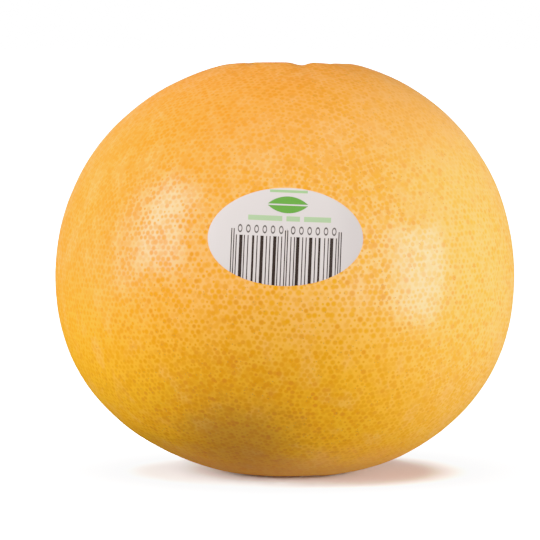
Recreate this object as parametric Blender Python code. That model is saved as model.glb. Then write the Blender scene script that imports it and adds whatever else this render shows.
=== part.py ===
"""A whole pomelo as picked: the fruit, the dry stem button in its stem cavity, and an oval paper sticker.

The fruit stands on its blossom end, with the stem up. +Z is up and the sticker faces -Y. The origin is on the
surface that the fruit stands on, under the middle of its width and depth. Blender 4.5, in metres.
"""

import math

import bmesh
import bpy
from mathutils import Vector, noise
from mathutils.bvhtree import BVHTree

MM = 0.001

# Driving dimensions of the fruit.
WIDTH = 110 * MM
DEPTH = 107 * MM
HEIGHT = 98.2 * MM
EQUATOR_HEIGHT = 47.6 * MM
# The outline is half a superellipse over half of another. An exponent of 2 is an ellipse, and more is squarer.
UPPER_SQUARENESS = 2.03
LOWER_SQUARENESS = 2.17

# The stem cavity at the top. The crown is the point that the outline would reach without it.
CAVITY_DEPTH = 4.7 * MM
CAVITY_FLOOR_RADIUS = 4.8 * MM
CAVITY_FALL = 5.5 * MM
CROWN_RISE = 2.1 * MM
# The furrows that run out of the cavity over the shoulder: direction in degrees, and share of the full depth.
# Two of them are at the front and the back, a little to the right of the middle, where the outline dips.
FURROWS = (
    (-80, 1.0),
    (-40, 0.5),
    (-8, 0.8),
    (20, 0.5),
    (48, 0.4),
    (78, 1.0),
    (144, 0.8),
    (188, 0.6),
    (232, 0.8),
)
FURROW_DEPTH = 0.9 * MM
FURROW_START = 5.0 * MM
FURROW_END = 26.0 * MM
FURROW_WIDTH = math.radians(8)

# The crown swells at the front and the back, and more so towards the left.
SWELL_HEIGHT = 0.4 * MM
SWELL_LEAN = 0.5

# The flat spot at the bottom that the fruit rests on, and the stylar scar, a small dent in the middle of it.
FLAT_RADIUS = 14 * MM
SCAR_RADIUS = 2.6 * MM
SCAR_DEPTH = 0.6 * MM

# How the grown shape departs from a turned one.
BOW = 1.1 * MM
LOBE_HEIGHT = 0.45 * MM
LOBES = 4
LUMP_HEIGHT = 0.5 * MM
LUMP_SIZE = 34 * MM

# How finely the skin is faceted.
SEGMENTS = 96
UPPER_RINGS = 24
LOWER_RINGS = 17
TOP_CROWDING = 0.6

# The stem button: a star of calyx lobes with the stub of the stalk on it.
CALYX_RADIUS = 4.2 * MM
CALYX_LOBES = 5
CALYX_LOBE_DEPTH = 0.16
CALYX_THICKNESS = 0.9 * MM
STALK_RADIUS = 2.0 * MM
STALK_HEIGHT = 0.9 * MM
BUTTON_SEGMENTS = 40

# The sticker, an oval wrapped round the front of the fruit. The tilt is how far its middle faces up.
STICKER_WIDTH = 35 * MM
STICKER_HEIGHT = 22.3 * MM
STICKER_THICKNESS = 0.3 * MM
STICKER_CENTRE_HEIGHT = 59.7 * MM
STICKER_TILT = math.radians(12)
STICKER_RINGS = 7
STICKER_SEGMENTS = 56

# Pieces that touch keep this gap, so that they stay separate solids.
GAP = 0.3 * MM


def clear_scene():
    for obj in list(bpy.data.objects):
        bpy.data.objects.remove(obj, do_unlink=True)


def finish(name, color, roughness):
    """A plain material of one colour."""
    material = bpy.data.materials.new(name)
    material.use_nodes = True
    shader = material.node_tree.nodes["Principled BSDF"]
    shader.inputs["Base Color"].default_value = (*color, 1)
    shader.inputs["Roughness"].default_value = roughness
    shader.inputs["Metallic"].default_value = 0
    return material


def add_object(name, bm, material):
    """Makes an object of the bmesh, shaded smooth except over sharp edges."""
    mesh = bpy.data.meshes.new(name)
    bm.to_mesh(mesh)
    bm.free()
    mesh.shade_smooth()
    mesh.set_sharp_from_angle(angle=math.radians(40))
    mesh.materials.append(material)
    obj = bpy.data.objects.new(name, mesh)
    bpy.context.scene.collection.objects.link(obj)
    return obj


def smooth_step(value, low, high):
    """0 below low, 1 above high, and a smooth rise between."""
    share = min(1, max(0, (value - low) / (high - low)))
    return share * share * (3 - 2 * share)


def cavity_depth(radius):
    """How far the skin lies below the crown at a distance from the axis. It is level under the button."""
    beyond = max(0, radius - CAVITY_FLOOR_RADIUS)
    return CAVITY_DEPTH * math.exp(-((beyond / CAVITY_FALL) ** 2))


def reach(radius, squareness):
    """The height at a distance from the axis of a superellipse that is as wide as the fruit and 1 high."""
    return (1 - (2 * radius / WIDTH) ** squareness) ** (1 / squareness)


def upper_outline():
    """Points from the middle of the stem cavity out to the equator, closer together near the top."""
    height = HEIGHT + CROWN_RISE - EQUATOR_HEIGHT
    for ring in range(UPPER_RINGS):
        share = ring / UPPER_RINGS
        crowded = share * (1 - TOP_CROWDING * (1 - share))
        radius = WIDTH / 2 * math.sin(math.pi / 2 * crowded) ** (2 / UPPER_SQUARENESS)
        top = EQUATOR_HEIGHT + height * reach(radius, UPPER_SQUARENESS)
        yield radius, top - cavity_depth(radius)


def lower_outline():
    """Points from the equator in to the edge of the flat spot, then across it to the middle of the scar."""
    flat_reach = reach(FLAT_RADIUS, LOWER_SQUARENESS)
    last = math.acos(flat_reach ** (LOWER_SQUARENESS / 2))
    for ring in range(LOWER_RINGS + 1):
        angle = math.pi / 2 + (last - math.pi / 2) * ring / LOWER_RINGS
        radius = WIDTH / 2 * math.sin(angle) ** (2 / LOWER_SQUARENESS)
        yield radius, EQUATOR_HEIGHT * (1 - reach(radius, LOWER_SQUARENESS) / flat_reach)
    yield (FLAT_RADIUS + SCAR_RADIUS) / 2, 0
    yield SCAR_RADIUS, 0
    yield 0.6 * SCAR_RADIUS, 0.7 * SCAR_DEPTH
    yield 0, SCAR_DEPTH


def crown_rise(radius, turn):
    """How far the swelling and the furrows lift the crown here, from the cavity's floor out to the shoulder."""
    start = smooth_step(radius, FURROW_START, 2 * FURROW_START)
    fade = 1 - smooth_step(radius, 2 * FURROW_START, FURROW_END)
    depth = 0
    for degrees, share in FURROWS:
        apart = math.remainder(turn - math.radians(degrees), 2 * math.pi)
        depth += share * math.exp(-((apart / FURROW_WIDTH) ** 2))
    swell = math.sin(turn) ** 2 * (1 - SWELL_LEAN * math.cos(turn))
    return start * fade * (SWELL_HEIGHT * swell - FURROW_DEPTH * depth)


def grown(point):
    """Moves a point of the turned shape to where it is on the real fruit."""
    radius = math.hypot(point.x, point.y)
    turn = math.atan2(point.y, point.x)
    level = (point.z - EQUATOR_HEIGHT) / (HEIGHT / 2)
    # The cavity and the flat spot keep their turned shape.
    side = smooth_step(radius, FLAT_RADIUS, 3 * FLAT_RADIUS)
    lobe = LOBE_HEIGHT * math.cos(LOBES * turn + 0.6)
    lump = LUMP_HEIGHT * noise.noise(point / LUMP_SIZE)
    outward = Vector((point.x, point.y, point.z - EQUATOR_HEIGHT)).normalized()
    moved = point + outward * side * (lobe * (1 - min(1, level * level)) + lump)
    moved.y *= DEPTH / WIDTH
    moved.x += BOW * level * level
    if level > 0:
        moved.z += crown_rise(radius, turn)
    return moved


def make_fruit(material):
    """Spins the outline round the axis, then moves every point to its grown place."""
    bm = bmesh.new()
    outline = [*upper_outline(), *lower_outline()]
    points = [bm.verts.new((radius, 0, height)) for radius, height in outline]
    edges = [bm.edges.new(pair) for pair in zip(points, points[1:])]
    bmesh.ops.spin(
        bm,
        geom=points + edges,
        axis=(0, 0, 1),
        cent=(0, 0, 0),
        angle=2 * math.pi,
        steps=SEGMENTS,
        use_merge=True,
    )
    bmesh.ops.remove_doubles(bm, verts=bm.verts, dist=0.01 * MM)
    for vert in bm.verts:
        vert.co = grown(vert.co)
    centre_over_origin(bm)
    bmesh.ops.recalc_face_normals(bm, faces=bm.faces)
    return add_object("fruit", bm, material)


def centre_over_origin(bm):
    """Puts the middle of the width and depth over the origin, and the flat spot on the ground."""
    for axis in range(3):
        values = [vert.co[axis] for vert in bm.verts]
        middle = (min(values) + max(values)) / 2
        shift = min(values) if axis == 2 else middle
        for vert in bm.verts:
            vert.co[axis] -= shift


def skin_tree(fruit):
    """A search tree of the fruit's faces, to find where its skin is."""
    mesh = fruit.data
    return BVHTree.FromPolygons([v.co for v in mesh.vertices], [p.vertices for p in mesh.polygons])


def make_stem_button(skin, material):
    """Turns the button's outline, scallops its rim into lobes, and sets it on the cavity's floor."""
    floor = skin.ray_cast(Vector((BOW, 0, 2 * HEIGHT)), Vector((0, 0, -1)))[0]
    # From the middle of the underside, round the rim and the stalk's cut end, to the middle of the top.
    outline = [
        (0, 0),
        (CALYX_RADIUS, 0.1 * CALYX_THICKNESS),
        (CALYX_RADIUS, 0.5 * CALYX_THICKNESS),
        (0.8 * CALYX_RADIUS, CALYX_THICKNESS),
        (1.25 * STALK_RADIUS, 1.1 * CALYX_THICKNESS),
        (STALK_RADIUS, CALYX_THICKNESS + 0.4 * STALK_HEIGHT),
        (0.95 * STALK_RADIUS, CALYX_THICKNESS + 0.9 * STALK_HEIGHT),
        (0.75 * STALK_RADIUS, CALYX_THICKNESS + STALK_HEIGHT),
        (0, CALYX_THICKNESS + 0.8 * STALK_HEIGHT),
    ]
    bm = bmesh.new()
    points = [bm.verts.new((radius, 0, height)) for radius, height in outline]
    edges = [bm.edges.new(pair) for pair in zip(points, points[1:])]
    bmesh.ops.spin(
        bm,
        geom=points + edges,
        axis=(0, 0, 1),
        cent=(0, 0, 0),
        angle=2 * math.pi,
        steps=BUTTON_SEGMENTS,
        use_merge=True,
    )
    bmesh.ops.remove_doubles(bm, verts=bm.verts, dist=0.01 * MM)
    for vert in bm.verts:
        radius = vert.co.xy.length
        turn = math.atan2(vert.co.y, vert.co.x)
        rim = smooth_step(radius, 1.2 * STALK_RADIUS, CALYX_RADIUS)
        scallop = 1 + CALYX_LOBE_DEPTH * rim * math.cos(CALYX_LOBES * turn)
        vert.co = Vector((vert.co.x * scallop, vert.co.y * scallop, vert.co.z))
        vert.co += floor + Vector((0, 0, GAP))
    bmesh.ops.recalc_face_normals(bm, faces=bm.faces)
    return add_object("stem_button", bm, material)


def sticker_point(skin, share, turn, height):
    """A point of the sticker, at a share of the way out to its rim and at a height over the skin."""
    right = Vector((1, 0, 0))
    up = Vector((0, math.sin(STICKER_TILT), math.cos(STICKER_TILT)))
    out = right.cross(up)
    across = right * STICKER_WIDTH / 2 * share * math.cos(turn)
    along = up * STICKER_HEIGHT / 2 * share * math.sin(turn)
    centre = Vector((0, -DEPTH / 2, STICKER_CENTRE_HEIGHT))
    start = centre + across + along + out * DEPTH
    place = skin.ray_cast(start, -out)[0]
    return place + out * height


def make_sticker(skin, material):
    """Lays rings of faces on the skin in an oval, and gives the sheet its thickness."""
    bm = bmesh.new()
    sheets = []
    for height in (GAP, GAP + STICKER_THICKNESS):
        middle = bm.verts.new(sticker_point(skin, 0, 0, height))
        rings = []
        for ring in range(1, STICKER_RINGS + 1):
            share = ring / STICKER_RINGS
            turns = [2 * math.pi * step / STICKER_SEGMENTS for step in range(STICKER_SEGMENTS)]
            rings.append([bm.verts.new(sticker_point(skin, share, turn, height)) for turn in turns])
        sheets.append((middle, rings))
    for middle, rings in sheets:
        for step in range(STICKER_SEGMENTS):
            after = (step + 1) % STICKER_SEGMENTS
            bm.faces.new((middle, rings[0][step], rings[0][after]))
            for inner, outer in zip(rings, rings[1:]):
                bm.faces.new((inner[step], outer[step], outer[after], inner[after]))
    under_rim, upper_rim = (rings[-1] for _, rings in sheets)
    for step in range(STICKER_SEGMENTS):
        after = (step + 1) % STICKER_SEGMENTS
        bm.faces.new((under_rim[step], under_rim[after], upper_rim[after], upper_rim[step]))
    bmesh.ops.recalc_face_normals(bm, faces=bm.faces)
    return add_object("sticker", bm, material)


def main():
    clear_scene()
    peel = finish("peel", (0.87, 0.47, 0.07), 0.38)
    button = finish("dry_calyx", (0.27, 0.20, 0.09), 0.85)
    paper = finish("paper", (0.80, 0.77, 0.76), 0.45)
    fruit = make_fruit(peel)
    skin = skin_tree(fruit)
    make_stem_button(skin, button)
    make_sticker(skin, paper)


main()
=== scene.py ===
"""A pomelo on a pale studio floor: waxy, gland-dotted peel, a dry stem button and an oval paper sticker."""

import math
import random

import bpy
from mathutils import Euler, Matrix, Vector


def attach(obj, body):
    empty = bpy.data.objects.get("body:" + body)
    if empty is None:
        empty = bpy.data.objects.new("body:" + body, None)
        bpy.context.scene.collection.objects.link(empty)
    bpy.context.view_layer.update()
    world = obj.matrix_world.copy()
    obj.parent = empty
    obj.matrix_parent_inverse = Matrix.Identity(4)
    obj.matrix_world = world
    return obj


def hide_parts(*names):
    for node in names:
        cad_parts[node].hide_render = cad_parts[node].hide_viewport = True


MM = 0.001

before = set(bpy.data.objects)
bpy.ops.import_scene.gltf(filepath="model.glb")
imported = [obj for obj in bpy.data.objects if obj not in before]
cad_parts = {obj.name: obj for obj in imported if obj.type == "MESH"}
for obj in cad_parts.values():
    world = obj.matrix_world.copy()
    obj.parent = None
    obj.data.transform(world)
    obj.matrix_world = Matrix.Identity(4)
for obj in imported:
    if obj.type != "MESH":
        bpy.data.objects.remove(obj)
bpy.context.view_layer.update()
bpy.ops.object.select_all(action="DESELECT")


class Shade:
    """An output socket of a material's nodes. Arithmetic on it adds Math nodes."""

    def __init__(self, tree, socket):
        self.tree = tree
        self.socket = socket

    def add(self, kind, settings=None, values=None, output=0):
        """A new node of any type. Its settings are set first, and then its sockets get values or links."""
        node = self.tree.nodes.new(kind)
        for name, setting in (settings or {}).items():
            if name == "stops":
                fill_ramp(node.color_ramp, setting)
            else:
                setattr(node, name, setting)
        for key, value in (values or {}).items():
            if isinstance(value, Shade):
                self.tree.links.new(value.socket, node.inputs[key])
            else:
                node.inputs[key].default_value = value
        return Shade(self.tree, node.outputs[output])

    def math(self, operation, *values):
        return self.add("ShaderNodeMath", {"operation": operation}, dict(enumerate(values)))

    def __add__(self, other):
        return self.math("ADD", self, other)

    def __radd__(self, other):
        return self.math("ADD", other, self)

    def __sub__(self, other):
        return self.math("SUBTRACT", self, other)

    def __rsub__(self, other):
        return self.math("SUBTRACT", other, self)

    def __mul__(self, other):
        return self.math("MULTIPLY", self, other)

    def __rmul__(self, other):
        return self.math("MULTIPLY", other, self)

    def __truediv__(self, other):
        return self.math("DIVIDE", self, other)

    def __lt__(self, other):
        return self.math("LESS_THAN", self, other)

    def __gt__(self, other):
        return self.math("GREATER_THAN", self, other)

    def __abs__(self):
        return self.math("ABSOLUTE", self)

    def squared(self):
        return self * self

    def fraction(self):
        """What is left over the whole number below."""
        return self.math("FRACT", self)

    def ramp(self, low, high):
        """0 where this is low and 1 where it is high, smooth between. Low may be the larger one."""
        values = {"Value": self, "From Min": low, "From Max": high}
        return self.add("ShaderNodeMapRange", {"interpolation_type": "SMOOTHSTEP"}, values)

    def tint(self, other, share):
        """This colour turning into another one by a share, which counts as 0 below 0 and as 1 above 1."""
        if not isinstance(other, Shade):
            other = (*other, 1)
        settings = {"data_type": "RGBA", "blend_type": "MIX"}
        return self.add("ShaderNodeMix", settings, {"Factor": share, "A": self, "B": other}, output="Result")

    def part(self, letter):
        """The x, y or z of a vector."""
        return self.add("ShaderNodeSeparateXYZ", None, {"Vector": self}, output=letter.upper())

    def noise(self, size, detail=2.0, roughness=0.5):
        """Soft noise from 0 to 1, whose waves are about this size in metres."""
        values = {"Vector": self, "Scale": 1 / size, "Detail": detail, "Roughness": roughness}
        return self.add("ShaderNodeTexNoise", None, values, output="Fac")

    def cells(self, size, output):
        """Irregular cells of about this size in metres: the Distance to their middles, or their Color."""
        values = {"Vector": self, "Scale": 1 / size, "Randomness": 1.0}
        return self.add("ShaderNodeTexVoronoi", {"feature": "F1"}, values, output=output)

    def length(self):
        return self.add("ShaderNodeVectorMath", {"operation": "LENGTH"}, {0: self}, output="Value")

    def distance_to(self, point):
        settings = {"operation": "DISTANCE"}
        return self.add("ShaderNodeVectorMath", settings, {0: self, 1: point}, output="Value")

    def moved(self, offset=(0, 0, 0), turn=(0, 0, 0), scale=(1, 1, 1)):
        """This point, moved by a Mapping node."""
        values = {"Vector": self, "Location": offset, "Rotation": turn, "Scale": scale}
        return self.add("ShaderNodeMapping", None, values)

    def attribute(self, name):
        """A vector that the mesh keeps for each corner of its faces."""
        return self.add("ShaderNodeAttribute", {"attribute_name": name}, output="Vector")

    def bump(self, strength, distance):
        """The surface's direction, with this as a relief on it."""
        values = {"Strength": strength, "Distance": distance, "Height": self}
        return self.add("ShaderNodeBump", None, values)


def fill_ramp(ramp, stops):
    """Stops are (position, colour) pairs, and the ramp's colours don't blend."""
    ramp.interpolation = "CONSTANT"
    while len(ramp.elements) < len(stops):
        ramp.elements.new(1.0)
    for element, (position, colour) in zip(ramp.elements, stops):
        element.position = position
        element.color = colour


def new_finish(name, **constants):
    """A material, its object coordinates and its shader, with the shader's constant sockets set."""
    material = bpy.data.materials.new(name)
    material.use_nodes = True
    tree = material.node_tree
    shader = tree.nodes["Principled BSDF"]
    for key, value in constants.items():
        shader.inputs[key.replace("_", " ")].default_value = value
    place = Shade(tree, tree.nodes.new("ShaderNodeTexCoord").outputs["Object"])
    return material, place, shader


def connect(shader, **sockets):
    """Links what changes over the surface to the shader."""
    for key, value in sockets.items():
        shader.id_data.links.new(value.socket, shader.inputs[key.replace("_", " ")])


def fixed_colour(place, colour):
    """A colour as a socket, to tint further."""
    node = place.tree.nodes.new("ShaderNodeRGB")
    node.outputs[0].default_value = (*colour, 1)
    return Shade(place.tree, node.outputs[0])


# The peel's colours: of the waxy net between the oil glands, of the glands, and of marks over both.
# Some also stand in for painted light: the yellow net for sheen, and the lower ones, pin prick and tan for
# shade.
ORANGE_NET = (0.95, 0.30, 0.045)
YELLOW_NET = (0.95, 0.440, 0.105)
LOWER_NET_AND_SHADE = (0.95, 0.385, 0.015)
ORANGE_GLAND = (0.84, 0.205, 0.010)
YELLOW_GLAND = (0.84, 0.305, 0.005)
LOWER_GLAND_AND_SHADE = (0.79, 0.262, 0.004)
RUSTY_GLAND = (0.72, 0.20, 0.012)
PALE_STREAK = (0.95, 0.42, 0.12)
UNDERSIDE_PINK = (0.95, 0.31, 0.10)
PIN_PRICK_AND_SHADE = (0.48, 0.21, 0.04)
TAN_AND_SHADE = (0.33, 0.13, 0.035)
STEM_GREEN = (0.55, 0.40, 0.06)
CORK = (0.20, 0.10, 0.035)

# The sizes of the peel's patterns, and the middles of its marks.
HALF_HEIGHT = 49 * MM
PRICK_SIZE = 1.1 * MM
STREAK_SIZE = 6 * MM
DRIFT_SIZE = 30 * MM
PATCH_SIZE = 7 * MM
GRAIN_SIZE = 0.35 * MM
TAN_AND_SHADE_PLACE = (-11 * MM, -36 * MM, 10 * MM)
STEM_PLACE = (1.2 * MM, 0, 96 * MM)
SCAR_PLACE = (1.1 * MM, 0, 0.4 * MM)


def gland_masks(place):
    """Where the glands are and where they are rusty. Each triangle of the mesh has one at each corner."""
    strengths = place.attribute("gland_strengths")
    tones = place.attribute("gland_tones")
    net_left = 1.0
    rust = 0.0
    for corner, letter in enumerate("xyz"):
        radii_off = place.attribute(f"from_gland_{corner}").length()
        spot = radii_off.ramp(1.25, 0.45) * strengths.part(letter)
        net_left = net_left * (1 - spot)
        rust = spot * tones.part(letter) + rust
    return 1 - net_left, rust


def prick_mask(place):
    """Pin pricks among the glands: the middles of most cells, where the surface passes close to them."""
    turned = place.moved(offset=(0.3, 0.1, 0.7), turn=(0.5, 0.3, 0.9))
    chosen = turned.cells(PRICK_SIZE, output="Color").part("x").ramp(0.2, 0.4)
    return turned.cells(PRICK_SIZE, output="Distance").ramp(0.18, 0.10) * chosen


def peel_finish():
    """Waxy peel: oil glands show golden through a paler net, and stay dull where the net's wax shines."""
    material, place, shader = new_finish(
        "peel_finish",
        Subsurface_Weight=0.12,
        Subsurface_Radius=(1.0, 0.45, 0.15),
        Subsurface_Scale=0.0012,
        IOR=1.45,
        Specular_IOR_Level=0.01,
        Coat_IOR=2.0,
        Coat_Roughness=0.22,
    )
    across = place.part("x")
    back = place.part("y")
    height = place.part("z")
    gland, rust = gland_masks(place)
    prick = prick_mask(place)
    # Pale streaks in the net, where the glands lie deeper, and slow changes over the fruit.
    streak = place.moved(offset=(0, 0.3, 0), scale=(1, 1, 0.6)).noise(STREAK_SIZE).ramp(0.50, 0.68)
    drift = place.noise(DRIFT_SIZE, detail=3.0)
    patch = place.moved(offset=(0.2, 0, 0)).noise(PATCH_SIZE, detail=3.0)
    ragged = patch - 0.5
    # The net and the glands turn from orange at the left to yellow at the right, and golden low down.
    level = (height - HALF_HEIGHT) / HALF_HEIGHT
    # Paler yellow to the right and at mid height: partly the peel's own colour, partly painted sheen.
    yellow_and_sheen = 0.72 + across / (54 * MM) * 0.75 - level.squared() * 0.9 + (drift - 0.5) * 0.5
    # Deeper golden low down, fading out at the right: partly the peel's own colour, partly painted shade.
    low = height.ramp(58 * MM, 20 * MM) * across.ramp(62 * MM, 10 * MM)
    net = fixed_colour(place, ORANGE_NET).tint(YELLOW_NET, yellow_and_sheen).tint(LOWER_NET_AND_SHADE, low)
    net = net.tint(PALE_STREAK, streak * 0.25)
    spots = fixed_colour(place, ORANGE_GLAND).tint(YELLOW_GLAND, yellow_and_sheen).tint(LOWER_GLAND_AND_SHADE, low)
    spots = spots.tint(RUSTY_GLAND, rust * 0.7)
    # The glands fade out towards the top and the sides.
    shown = 1 - streak * 0.2 - height.ramp(58 * MM, 82 * MM) * 0.22
    shown = shown - across.ramp(5 * MM, 40 * MM) * 0.34 - across.ramp(-28 * MM, -46 * MM) * 0.28
    colour = net.tint(spots, gland * shown)
    # Dark pin pricks: partly the pores' own colour, partly painted shade in their pits.
    colour = colour.tint(PIN_PRICK_AND_SHADE, prick * 0.7)
    # A paler, pinker band where the fruit turns under.
    under = (height + ragged * (10 * MM)).ramp(12 * MM, 1 * MM)
    colour = colour.tint(UNDERSIDE_PINK, under * 0.5)
    # A tan patch low on the front, partly a blemish of the peel and partly painted shade.
    tan_and_shade = (place.distance_to(TAN_AND_SHADE_PLACE) + ragged * (14 * MM)).ramp(21 * MM, 4 * MM)
    colour = colour.tint(TAN_AND_SHADE, tan_and_shade * 0.42)
    # A greener ring round the stem cavity.
    green = (place.distance_to(STEM_PLACE) + ragged * (6 * MM)).ramp(15 * MM, 4 * MM)
    colour = colour.tint(STEM_GREEN, green * 0.55)
    # The cork of the stylar scar, underneath.
    cork = place.distance_to(SCAR_PLACE).ramp(3.1 * MM, 2.3 * MM)
    colour = colour.tint(CORK, cork * 0.9)
    relief = 0.15 * place.noise(GRAIN_SIZE) + 0.5 * patch - gland * 0.8 - prick * 0.9
    rough = 0.42 + gland * 0.10 + patch * 0.08 + cork * 0.3
    # The wax is thick on the front and worn dull on the back, and thin on the glands and in the pricks.
    thick = 0.063 + 0.115 * back.ramp(30 * MM, -10 * MM)
    wax = thick * (1 - gland * shown * 0.7) * (1 - prick * 0.8) * (1 - cork)
    normal = relief.bump(strength=0.5, distance=0.06 * MM)
    connect(shader, Base_Color=colour, Roughness=rough, Coat_Weight=wax, Normal=normal)
    return material


# The stem button: the colours of its lobes and of the stalk's cut end, its place and the wood's rings.
DRY_BROWN = (0.23, 0.17, 0.06)
DRY_GREEN = (0.34, 0.30, 0.10)
DARK_STREAK = (0.09, 0.055, 0.02)
PALE_WOOD = (0.42, 0.30, 0.15)
DARK_WOOD = (0.25, 0.15, 0.06)
BUTTON_ACROSS = 1.45 * MM
WOOD_RING = 0.42 * MM


def calyx_finish():
    """Dry, dull plant tissue, greenish brown on the lobes and pale on the stalk's cut end."""
    material, place, shader = new_finish("calyx_finish", IOR=1.4)
    centred = place.moved(offset=(-BUTTON_ACROSS, 0, 0))
    radius = centred.moved(scale=(1, 1, 0)).length()
    streaks = centred.moved(scale=(1, 1, 0.2)).noise(0.5 * MM, detail=4.0, roughness=0.7)
    blotch = centred.noise(1.6 * MM)
    colour = fixed_colour(place, DRY_BROWN).tint(DRY_GREEN, blotch.ramp(0.35, 0.7))
    colour = colour.tint(DARK_STREAK, streaks.ramp(0.45, 0.8) * 0.7)
    turn = radius * (2 * math.pi / WOOD_RING)
    rings = turn.math("SINE", turn)
    wood = fixed_colour(place, PALE_WOOD).tint(DARK_WOOD, rings.ramp(-0.4, 1.0) * 0.7)
    colour = colour.tint(wood, radius.ramp(1.7 * MM, 1.4 * MM))
    normal = (streaks + blotch).bump(strength=0.8, distance=0.15 * MM)
    connect(shader, Base_Color=colour, Roughness=0.72 + streaks * 0.2, Normal=normal)
    return material


# The sticker: an oval that leans back with the fruit's side, and a print that is turned a little on it.
STICKER_WIDTH = 35 * MM
STICKER_HEIGHT = 22.3 * MM
STICKER_MIDDLE = Vector((0, 0, 59.7 * MM))
STICKER_TILT = math.radians(12)
PRINT_TURN = math.radians(2.3)

PAPER = (0.615, 0.542, 0.520)
SHADED_PAPER = (0.50, 0.44, 0.43)
BLOTCHED_PAPER = (0.55, 0.48, 0.45)
INK = (0.022, 0.013, 0.010)
LEAF_GREEN = (0.085, 0.275, 0.035)
PALE_GREEN = (0.24, 0.44, 0.15)

# The plain bars, in narrow-bar widths. Half of them are listed, and the other half are the same mirrored.
BAR = 0.264 * MM
BARS_LEFT = -12.3 * MM
BARS_TOP = -0.4 * MM
BARS_ACROSS = 95
HALF_START = 3
HALF_ACROSS = 42
HALF_BARS = (
    (1, 2),
    (4, 7),
    (8, 9),
    (11, 12),
    (15, 17),
    (19, 20),
    (22, 25),
    (27, 28),
    (30, 31),
    (33, 36),
    (37, 38),
    (40, 41),
)

# Pairs of guard bars, which are taller, stand at both ends of the bars and between the halves.
GUARD_APART = 46
GUARD_TOP = 1.0 * MM

# The row of plain oval rings over the bars, with a gap where the guard bars stand between the halves.
RINGS = 12
RINGS_LEFT = -11.23 * MM
RINGS_UP = 1.05 * MM
RING_PITCH = 1.86 * MM
RING_HALF_WIDTH = 0.53 * MM
RING_HALF_HEIGHT = 0.95 * MM
RING_HOLE = 0.34
GAP_AFTER = 0.3 * MM
GAP_WIDTH = 0.84 * MM

# The leaf is where two circles overlap, one with its middle as far above the leaf's as the other's below.
LEAF_ACROSS = 0.3 * MM
LEAF_UP = 6.7 * MM
LEAF_CIRCLE = 6.9 * MM
LEAF_CIRCLE_OFF = 5.0 * MM

# The gaps in the rule under the leaf, and how softly both rules end above and below.
RULE_GAPS = (-0.4 * MM, 3.6 * MM)
RULE_HALF_GAP = 0.45 * MM
RULE_BLUR = 0.04 * MM


def bar_print(across, up):
    """The bars: the listed half and the same mirrored, and the pairs of guard bars."""
    count = (across - BARS_LEFT) / BAR
    printed = (count > 0) * (count < BARS_ACROSS)
    right = count > BARS_ACROSS / 2
    half = (count - HALF_START) * (1 - right) + (BARS_ACROSS - HALF_START - count) * right
    bare = (0, 0, 0, 1)
    inked = (1, 1, 1, 1)
    stops = [(0, bare)]
    for start, end in HALF_BARS:
        stops.append((start / HALF_ACROSS, inked))
        stops.append((end / HALF_ACROSS, bare))
    values = {"Fac": half / HALF_ACROSS}
    bars = half.add("ShaderNodeValToRGB", {"stops": stops}, values, output="Color").part("x")
    from_guard = (count / GUARD_APART).fraction() * GUARD_APART
    guards = (from_guard < 1) + (from_guard > 2) * (from_guard < 3)
    return printed * (bars * (up < BARS_TOP) + guards * (up < GUARD_TOP))


def ring_print(across, up):
    """The row of rings: ovals with an oval hole."""
    along = (across - RINGS_LEFT - (across > GAP_AFTER) * GAP_WIDTH) / RING_PITCH
    ring_across = (along.fraction() - 0.5) * (RING_PITCH / RING_HALF_WIDTH)
    ring_up = (up - RINGS_UP) / RING_HALF_HEIGHT
    oval = ring_across.squared() + ring_up.squared()
    return (oval < 1) * (oval > RING_HOLE) * (along > 0) * (along < RINGS)


def leaf_print(across, up):
    """The leaf, with a bare midrib."""
    leaf_up = abs(up - LEAF_UP)
    from_middle = (across - LEAF_ACROSS).squared() + (leaf_up + LEAF_CIRCLE_OFF).squared()
    return (from_middle < LEAF_CIRCLE**2) * leaf_up.ramp(0.12 * MM, 0.16 * MM)


def rule_print(across, up, half_length, half_thickness):
    """A plain rule, with its middle where across and up are 0."""
    thick = abs(up).ramp(half_thickness + RULE_BLUR, half_thickness - RULE_BLUR)
    return thick * (abs(across) < half_length)


def sticker_finish():
    """White label paper with a plain print: a leaf between two green rules, a row of rings and bars."""
    material, place, shader = new_finish("sticker_finish", IOR=1.45, Specular_IOR_Level=0.2)
    flat = place.moved(offset=(0, 0, -STICKER_MIDDLE.z)).moved(turn=(0, -PRINT_TURN, 0))
    across = flat.part("x")
    up = flat.part("z")
    sheet = place.noise(9 * MM)
    fibres = place.noise(0.5 * MM, detail=3.0)
    colour = fixed_colour(place, PAPER).tint(SHADED_PAPER, across.ramp(8 * MM, 18 * MM))
    colour = colour.tint(BLOTCHED_PAPER, sheet.ramp(0.4, 0.9) * 0.25)
    colour = colour.tint(INK, bar_print(across, up) + ring_print(across, up) * 0.9)
    colour = colour.tint(LEAF_GREEN, leaf_print(across, up))
    over = rule_print(across - 0.4 * MM, up - 9.7 * MM, half_length=4.3 * MM, half_thickness=0.30 * MM)
    below = rule_print(across - 0.8 * MM, up - 3.6 * MM, half_length=9.4 * MM, half_thickness=0.58 * MM)
    for gap in RULE_GAPS:
        below = below * (abs(across - gap) > RULE_HALF_GAP)
    colour = colour.tint(PALE_GREEN, below * 0.75 + over * 0.9)
    normal = (fibres + sheet * 3).bump(strength=0.25, distance=0.03 * MM)
    connect(shader, Base_Color=colour, Roughness=0.42 + fibres * 0.1, Normal=normal)
    return material


FLOOR_WHITE = (0.88, 0.88, 0.88)
FLOOR_CLOUD = (0.84, 0.84, 0.845)


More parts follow.
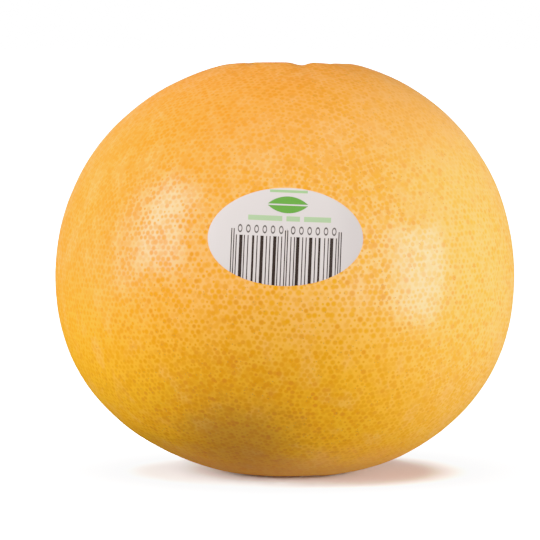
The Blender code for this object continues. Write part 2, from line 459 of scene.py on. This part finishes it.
def floor_finish():
    """Pale, dull board with faint clouds."""
    material, place, shader = new_finish("floor_finish", Specular_IOR_Level=0.0)
    colour = fixed_colour(place, FLOOR_WHITE).tint(FLOOR_CLOUD, place.noise(0.3))
    connect(shader, Base_Color=colour, Roughness=0.6 + place.noise(0.1) * 0.1)
    return material


def only(piece):
    """Selects one object and makes it active."""
    bpy.ops.object.select_all(action="DESELECT")
    piece.select_set(True)
    bpy.context.view_layer.objects.active = piece


def edit(piece):
    """Goes into edit mode with everything deselected."""
    only(piece)
    bpy.ops.object.mode_set(mode="EDIT")
    bpy.ops.mesh.select_all(action="DESELECT")


def done():
    """Goes back to object mode."""
    bpy.ops.object.mode_set(mode="OBJECT")


def apply(piece, kind, **settings):
    """Adds a modifier with these settings, and applies it."""
    only(piece)
    modifier = piece.modifiers.new(kind.title(), kind)
    for name, setting in settings.items():
        setattr(modifier, name, setting)
    bpy.ops.object.modifier_apply(modifier=modifier.name)


def settle(piece):
    """Puts the piece's place into its mesh."""
    only(piece)
    bpy.ops.object.transform_apply(location=True, rotation=True, scale=True)


def dress(piece, finish, node):
    """Gives a piece its finish and puts it in the place of a CAD node."""
    piece.data.materials.clear()
    piece.data.materials.append(finish)
    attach(piece, "root")
    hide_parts(node)


def merged_copy(node, name):
    """A new piece with a CAD node's mesh, welded and turned into quads."""
    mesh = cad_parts[node].data.copy()
    piece = bpy.data.objects.new(name, mesh)
    bpy.context.scene.collection.objects.link(piece)
    edit(piece)
    bpy.ops.mesh.select_all(action="SELECT")
    bpy.ops.mesh.remove_doubles(threshold=0.01 * MM)
    bpy.ops.mesh.tris_convert_to_quads(face_threshold=math.radians(60), shape_threshold=math.radians(60))
    bpy.ops.mesh.normals_make_consistent(inside=False)
    done()
    return piece


def soft_bumps(name, size):
    """A cloudy texture for a Displace modifier, with clouds of about this size in metres."""
    texture = bpy.data.textures.new(name, "CLOUDS")
    texture.noise_scale = size
    texture.noise_depth = 1
    return texture


# The peel starts as a ball round the fruit. Each vertex of its first mesh is the middle of an oil gland.
BALL_RADIUS = 56 * MM
GLAND_ROWS = 11
GLAND_RADIUS = 0.66 * MM
GLAND_SHIFT = 0.46 * MM
GLAND_DENT = 0.03 * MM
GLAND_SIZES = (0.5, 0.7, 0.85, 0.95, 1.0, 1.05, 1.1, 1.2)
GLAND_STRENGTHS = (0.5, 0.7, 0.85, 0.9, 0.95, 1.0)
GLAND_TONES = (0.0, 0.0, 0.0, 0.2, 0.5, 1.0)


def make_peel():
    """The skin of the fruit, with a vertex at the middle of each oil gland and more halfway between."""
    form = merged_copy("fruit", "fruit_form")
    apply(form, "SUBSURF", levels=2, render_levels=2)
    bpy.ops.mesh.primitive_ico_sphere_add(subdivisions=3, radius=BALL_RADIUS, location=(0, 0, HALF_HEIGHT))
    peel = bpy.context.object
    peel.name = "peel"
    edit(peel)
    bpy.ops.mesh.select_all(action="SELECT")
    bpy.ops.mesh.subdivide(number_cuts=GLAND_ROWS)
    bpy.ops.transform.vertex_random(offset=GLAND_SHIFT, uniform=0.0, normal=0.0, seed=7)
    bpy.ops.transform.tosphere(value=1)
    done()
    settle(peel)
    apply(peel, "SHRINKWRAP", target=form, wrap_method="PROJECT", use_negative_direction=True)
    glands = len(peel.data.vertices)
    strengths = write_glands(peel.data)
    edit(peel)
    bpy.ops.mesh.select_all(action="SELECT")
    bpy.ops.mesh.subdivide(number_cuts=1)
    done()
    apply(peel, "SHRINKWRAP", target=form, wrap_method="NEAREST_SURFACEPOINT")
    bpy.data.objects.remove(form, do_unlink=True)
    broad = soft_bumps("broad_dents", 16 * MM)
    apply(peel, "DISPLACE", texture=broad, texture_coords="LOCAL", strength=0.30 * MM, mid_level=1.0)
    small = soft_bumps("small_dents", 5 * MM)
    apply(peel, "DISPLACE", texture=small, texture_coords="LOCAL", strength=0.06 * MM, mid_level=1.0)
    middles = peel.data.vertices[:glands]
    dents = [vert.normal * (GLAND_DENT * strength) for vert, strength in zip(middles, strengths)]
    for vert, dent in zip(middles, dents):
        vert.co -= dent
    only(peel)
    bpy.ops.object.shade_smooth()
    return peel


def write_glands(mesh):
    """Draws each gland's size, strength and tone, and returns the strengths.

    Every corner of a face keeps the strengths and tones of the face's three glands, and how far off
    each of them is, in radii of that gland.
    """
    random.seed(11)
    sizes = [GLAND_RADIUS * random.choice(GLAND_SIZES) for _ in mesh.vertices]
    strengths = [random.choice(GLAND_STRENGTHS) for _ in mesh.vertices]
    tones = [random.choice(GLAND_TONES) for _ in mesh.vertices]
    offsets = [[], [], []]
    corner_strengths = []
    corner_tones = []
    for face in mesh.polygons:
        for index in face.vertices:
            corner_strengths.extend(strengths[gland] for gland in face.vertices)
            corner_tones.extend(tones[gland] for gland in face.vertices)
            for gland, kept in zip(face.vertices, offsets):
                kept.extend((mesh.vertices[index].co - mesh.vertices[gland].co) / sizes[gland])
    for corner, kept in enumerate(offsets):
        keep_on_corners(mesh, f"from_gland_{corner}", kept)
    keep_on_corners(mesh, "gland_strengths", corner_strengths)
    keep_on_corners(mesh, "gland_tones", corner_tones)
    return strengths


def keep_on_corners(mesh, name, numbers):
    """Keeps a vector for each corner of the mesh's faces. Three numbers make one."""
    mesh.attributes.new(name, "FLOAT_VECTOR", "CORNER").data.foreach_set("vector", numbers)


STICKER_RINGS = 14
FRUIT_FRONT = Vector((0, -53.5 * MM, 0))
START_OFF = 20 * MM
GLUE_THICKNESS = 0.03 * MM
PAPER_THICKNESS = 0.11 * MM


def make_sticker(peel):
    """An oval of paper, laid on the peel and given its thickness."""
    bpy.ops.mesh.primitive_circle_add(vertices=96, radius=0.5, fill_type="NGON")
    sticker = bpy.context.object
    sticker.name = "sticker_paper"
    edit(sticker)
    bpy.ops.mesh.select_all(action="SELECT")
    for ring in range(STICKER_RINGS, 0, -1):
        bpy.ops.mesh.extrude_region()
        share = (ring - 0.6) / (ring + 0.4)
        bpy.ops.transform.resize(value=(share, share, 1))
    bpy.ops.mesh.poke()
    done()
    sticker.scale = (STICKER_WIDTH, STICKER_HEIGHT, 1)
    sticker.rotation_euler = Euler((math.pi / 2 - STICKER_TILT, 0, 0))
    out = sticker.rotation_euler.to_matrix() @ Vector((0, 0, 1))
    sticker.location = STICKER_MIDDLE + FRUIT_FRONT + out * START_OFF
    apply(
        sticker,
        "SHRINKWRAP",
        target=peel,
        wrap_method="PROJECT",
        use_project_z=True,
        use_negative_direction=True,
        use_positive_direction=False,
        offset=GLUE_THICKNESS,
    )
    settle(sticker)
    apply(sticker, "SOLIDIFY", thickness=PAPER_THICKNESS, offset=1.0)
    edit(sticker)
    bpy.ops.mesh.select_all(action="SELECT")
    bpy.ops.mesh.normals_make_consistent(inside=False)
    done()
    only(sticker)
    bpy.ops.object.shade_smooth_by_angle(angle=math.radians(40))
    return sticker


def make_stem_button():
    """The calyx lobes and the cut stub of the stalk."""
    button = merged_copy("stem_button", "stem_calyx")
    apply(button, "SUBSURF", levels=2, render_levels=2)
    wrinkles = soft_bumps("calyx_wrinkles", 1.1 * MM)
    apply(button, "DISPLACE", texture=wrinkles, texture_coords="LOCAL", strength=0.25 * MM, mid_level=0.6)
    only(button)
    bpy.ops.object.shade_smooth()
    return button


def make_floor():
    """A wide disc that the camera sees, and that neither lights the fruit nor shades it."""
    bpy.ops.mesh.primitive_circle_add(vertices=96, radius=40, fill_type="NGON")
    floor = bpy.context.object
    floor.name = "floor"
    floor.data.materials.append(floor_finish())
    floor.visible_diffuse = False
    floor.visible_glossy = False
    floor.visible_shadow = False
    return floor


# The soft boxes, which all face the middle of the fruit: a name, the way there (see aim), size and power.
LIT_MIDDLE = Vector((0, 0, 50 * MM))
SOFT_BOXES = (
    ("left_box", (-69, 22, 0.85), (0.36, 0.56), 10.2),
    ("left_side", (-84, 16, 0.85), (0.30, 0.60), 3.0),
    ("left_fill", (-36, 10, 1.0), (0.9, 0.9), 2.55),
    ("right_box", (69, 2, 0.85), (0.34, 0.56), 9.2),
    ("right_fill", (44, 10, 1.0), (0.6, 0.8), 5.2),
    ("top_box", (0, 66, 0.85), (1.0, 1.0), 3.2),
    ("back_box", (180, 30, 0.85), (1.0, 1.0), 1.2),
)
FLOOR_GLOW_POWER = 2.75
FLOOR_LIGHT_POWER = 14.0
ROOM_LIGHT = 0.03

# How bright light comes out: even up to the middle tones, and with a soft shoulder up to the brightest.
BRIGHTEST = 3.0
SHOULDER = (
    (0.0, 0.0),
    (0.25, 0.25),
    (0.45, 0.40),
    (0.6, 0.49),
    (0.85, 0.657),
    (1.1, 0.772),
    (1.35, 0.885),
    (1.6, 0.955),
    (2.0, 0.965),
    (BRIGHTEST, 1.0),
)


def aim(azimuth, elevation, distance):
    """The way to a light, from the front (0) to the right (90) and up, in degrees and metres."""
    turn = math.radians(azimuth)
    lift = math.radians(elevation)
    level = math.cos(lift)
    return distance * Vector((math.sin(turn) * level, -math.cos(turn) * level, math.sin(lift)))


def add_lamp(name, light):
    """Puts a light into the scene."""
    lamp = bpy.data.objects.new(name, light)
    bpy.context.scene.collection.objects.link(lamp)
    return lamp


def add_soft_box(name, place, target, size, power):
    """A soft box that faces the target."""
    light = bpy.data.lights.new(name, "AREA")
    light.shape = "RECTANGLE"
    light.size, light.size_y = size
    light.energy = power
    lamp = add_lamp(name, light)
    lamp.location = place
    lamp.rotation_euler = (Vector(target) - Vector(place)).to_track_quat("-Z", "Y").to_euler()
    lamp.visible_camera = False
    return lamp


def light_the_studio(floor):
    """Soft boxes, the floor's own glow on the fruit, and an even light from above for the floor alone."""
    for name, way, size, power in SOFT_BOXES:
        add_soft_box(name, LIT_MIDDLE + aim(*way), LIT_MIDDLE, size, power)
    glow = add_soft_box("floor_glow", (0, 0, 0.5 * MM), (0, 0, 1), (1.6, 1.6), FLOOR_GLOW_POWER)
    glow.visible_glossy = False
    sky = bpy.data.lights.new("floor_light", "SUN")
    sky.energy = FLOOR_LIGHT_POWER
    sky.angle = math.radians(70)
    lamp = add_lamp("floor_light", sky)
    lit = bpy.data.collections.new("lit_by_floor_light")
    lit.objects.link(floor)
    lamp.light_linking.receiver_collection = lit


def paint_the_room():
    """An even room, dim as a light and white where the camera sees past the floor."""
    world = bpy.data.worlds.new("studio")
    bpy.context.scene.world = world
    world.use_nodes = True
    seen = world.node_tree.nodes.new("ShaderNodeLightPath")
    strength = world.node_tree.nodes.new("ShaderNodeMapRange")
    strength.inputs["To Min"].default_value = ROOM_LIGHT
    strength.inputs["To Max"].default_value = BRIGHTEST
    background = world.node_tree.nodes["Background"]
    background.inputs["Color"].default_value = (1, 1, 1, 1)
    world.node_tree.links.new(seen.outputs["Is Camera Ray"], strength.inputs["Value"])
    world.node_tree.links.new(strength.outputs["Result"], background.inputs["Strength"])


CAMERA_TARGET = Vector((-3.5 * MM, 0, 48.55 * MM))
CAMERA_ELEVATION = math.radians(3.5)
CAMERA_DISTANCE = 0.9


def add_camera():
    """In front, a little above level, and far enough away for the fruit to look as flat as it does."""
    back = Vector((0, -math.cos(CAMERA_ELEVATION), math.sin(CAMERA_ELEVATION)))
    camera = bpy.data.cameras.new("camera")
    camera.sensor_width = 36
    camera.lens = 250.05
    eye = bpy.data.objects.new("camera", camera)
    bpy.context.scene.collection.objects.link(eye)
    eye.location = CAMERA_TARGET + back * CAMERA_DISTANCE
    eye.rotation_euler = (-back).to_track_quat("-Z", "Y").to_euler()
    bpy.context.scene.camera = eye


def set_tone():
    """Gives the picture its soft shoulder."""
    view = bpy.context.scene.view_settings
    view.view_transform = "Standard"
    view.use_curve_mapping = True
    tone = view.curve_mapping
    tone.white_level = (BRIGHTEST, BRIGHTEST, BRIGHTEST)
    curve = tone.curves[3]
    while len(curve.points) < len(SHOULDER):
        curve.points.new(0.5, 0.5)
    for point, (light, shown) in zip(curve.points, SHOULDER):
        point.location = (light / BRIGHTEST, shown)
        point.handle_type = "AUTO_CLAMPED"
    tone.update()


peel = make_peel()
sticker = make_sticker(peel)
button = make_stem_button()
dress(peel, peel_finish(), "fruit")
dress(sticker, sticker_finish(), "sticker")
dress(button, calyx_finish(), "stem_button")
light_the_studio(make_floor())
paint_the_room()
add_camera()
set_tone()
